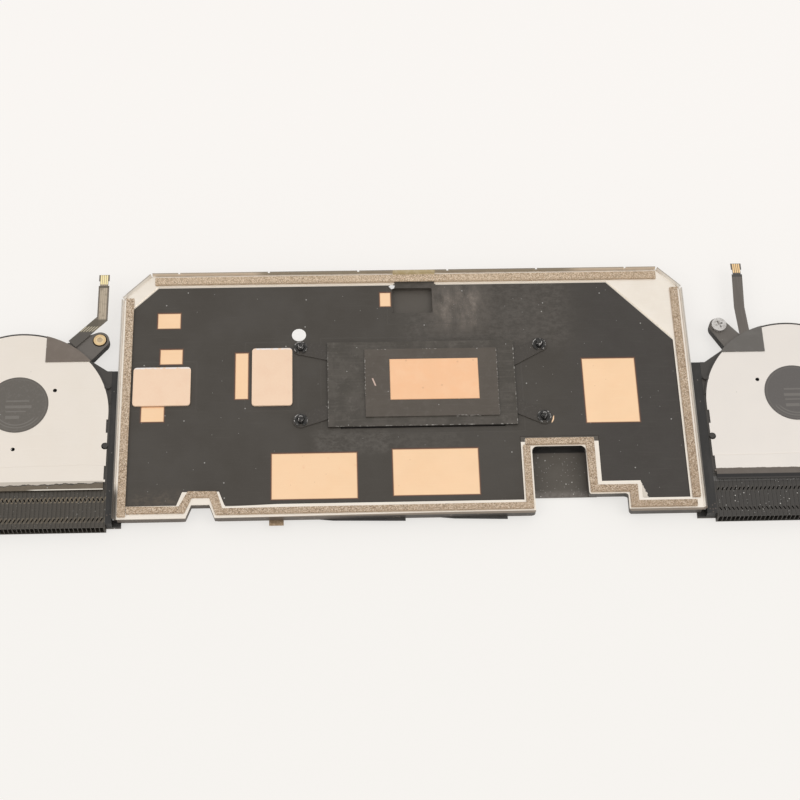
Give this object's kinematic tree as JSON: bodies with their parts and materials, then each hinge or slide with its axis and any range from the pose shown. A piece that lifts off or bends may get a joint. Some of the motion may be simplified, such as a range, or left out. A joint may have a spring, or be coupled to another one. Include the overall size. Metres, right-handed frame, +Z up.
{
  "type": "laptop_cooling_module",
  "caption": "Flat laptop cooling module: blowers with fin stacks at both ends, joined by heat pipes to a film-covered copper spreader in a shield frame with a raised processor contact.",
  "frame": {"origin": "middle of the overall box, on the plane the blower covers rest on", "axes": "+X along the module from the left blower to the right one, +Y from the fin stacks to the cable tails, +Z up out of the side that meets the circuit board"},
  "size_m": [0.277, 0.0848, 0.0063],
  "materials": {
    "tray_black": "satin black paint",
    "pipe_copper": "drawn copper, lightly tarnished",
    "spreader_copper": "rolled copper sheet",
    "contact_copper": "milled copper",
    "frame_steel": "tinned sheet, satin",
    "film_black": "matt polyester film",
    "stage_film": "matt polyester film, scuffed at its edges",
    "spring_black": "satin black",
    "captive_screw_black": "black oxide",
    "ring_black": "black oxide",
    "gasket_fabric": "conductive fabric over foam",
    "pad_gum": "soft gap-filler pad",
    "dot_white": "white coated paper",
    "amber_tape": "polyimide tape",
    "bright_foil": "bright foil",
    "edge_tape": "black tape",
    "insert_brass": "turned brass",
    "ear_screw_steel": "zinc-plated steel",
    "housing_black": "moulded, fine grain",
    "cover_black": "moulded, fine grain",
    "plate_steel": "stamped sheet, satin",
    "impeller_black": "glass-filled moulding",
    "yoke_steel": "drawn steel",
    "magnet_dark": "bonded magnet",
    "shaft_steel": "ground steel",
    "sleeve_brass": "sintered bronze",
    "stator_steel": "laminated steel",
    "hub_label_black": "matt film label, blank",
    "flex_amber": "polyimide flex",
    "flex_grey": "dark polyimide flex",
    "contact_gold": "gold plated",
    "corner_tape_black": "cloth tape",
    "outlet_tape_black": "thin black tape",
    "fin_black": "black coated fins"
  },
  "bodies": {
    "module": {"back_tray": "tray_black", "side_rail_left": "tray_black", "side_rail_right": "tray_black", "heat_pipe_left": "pipe_copper", "heat_pipe_right": "pipe_copper", "spreader_plate": "spreader_copper", "cold_plate": "contact_copper", "shield_frame": "frame_steel", "insulating_film": "film_black", "cpu_film": "stage_film", "spring_arm_left": "spring_black", "spring_arm_right": "spring_black", "captive_screws": "captive_screw_black", "screw_rings": "ring_black", "gasket_rear": "gasket_fabric", "gasket_left": "gasket_fabric", "gasket_right": "gasket_fabric", "gasket_front": "gasket_fabric", "thermal_pad_left": "pad_gum", "thermal_pad_centre": "pad_gum", "white_dot": "dot_white", "rear_tape": "amber_tape", "foil_tab": "bright_foil", "edge_tapes": "edge_tape", "ear_insert": "insert_brass", "ear_screw": "ear_screw_steel", "fan_housing_left": "housing_black", "fan_housing_right": "housing_black", "fan_cover_left": "cover_black", "fan_cover_right": "cover_black", "base_plate_left": "plate_steel", "base_plate_right": "plate_steel", "bearing_sleeve_left": "sleeve_brass", "bearing_sleeve_right": "sleeve_brass", "stator_left": "stator_steel", "stator_right": "stator_steel", "hub_label_left": "hub_label_black", "hub_label_right": "hub_label_black", "flex_tail_left": "flex_amber", "flex_tail_right": "flex_grey", "flex_contacts_left": "contact_gold", "flex_contacts_right": "contact_gold", "corner_tape_left": "corner_tape_black", "corner_tape_right": "corner_tape_black", "outlet_tape_left": "outlet_tape_black", "outlet_tape_right": "outlet_tape_black", "fin_stack_left": "fin_black", "fin_stack_right": "fin_black"},
    "rotor_left": {"impeller_left": "impeller_black", "rotor_yoke_left": "yoke_steel", "rotor_magnet_left": "magnet_dark", "shaft_left": "shaft_steel"},
    "rotor_right": {"impeller_right": "impeller_black", "rotor_yoke_right": "yoke_steel", "rotor_magnet_right": "magnet_dark", "shaft_right": "shaft_steel"}
  },
  "joints": [
    {"name": "fan_spin_left", "type": "hinge", "parent": "module", "child": "rotor_left", "pos_m": [-0.1155, -0.00285, 0.0025], "axis": [0, 0, 1], "continuous": true},
    {"name": "fan_spin_right", "type": "hinge", "parent": "module", "child": "rotor_right", "pos_m": [0.1155, -0.00285, 0.0025], "axis": [0, 0, 1], "continuous": true}
  ]
}
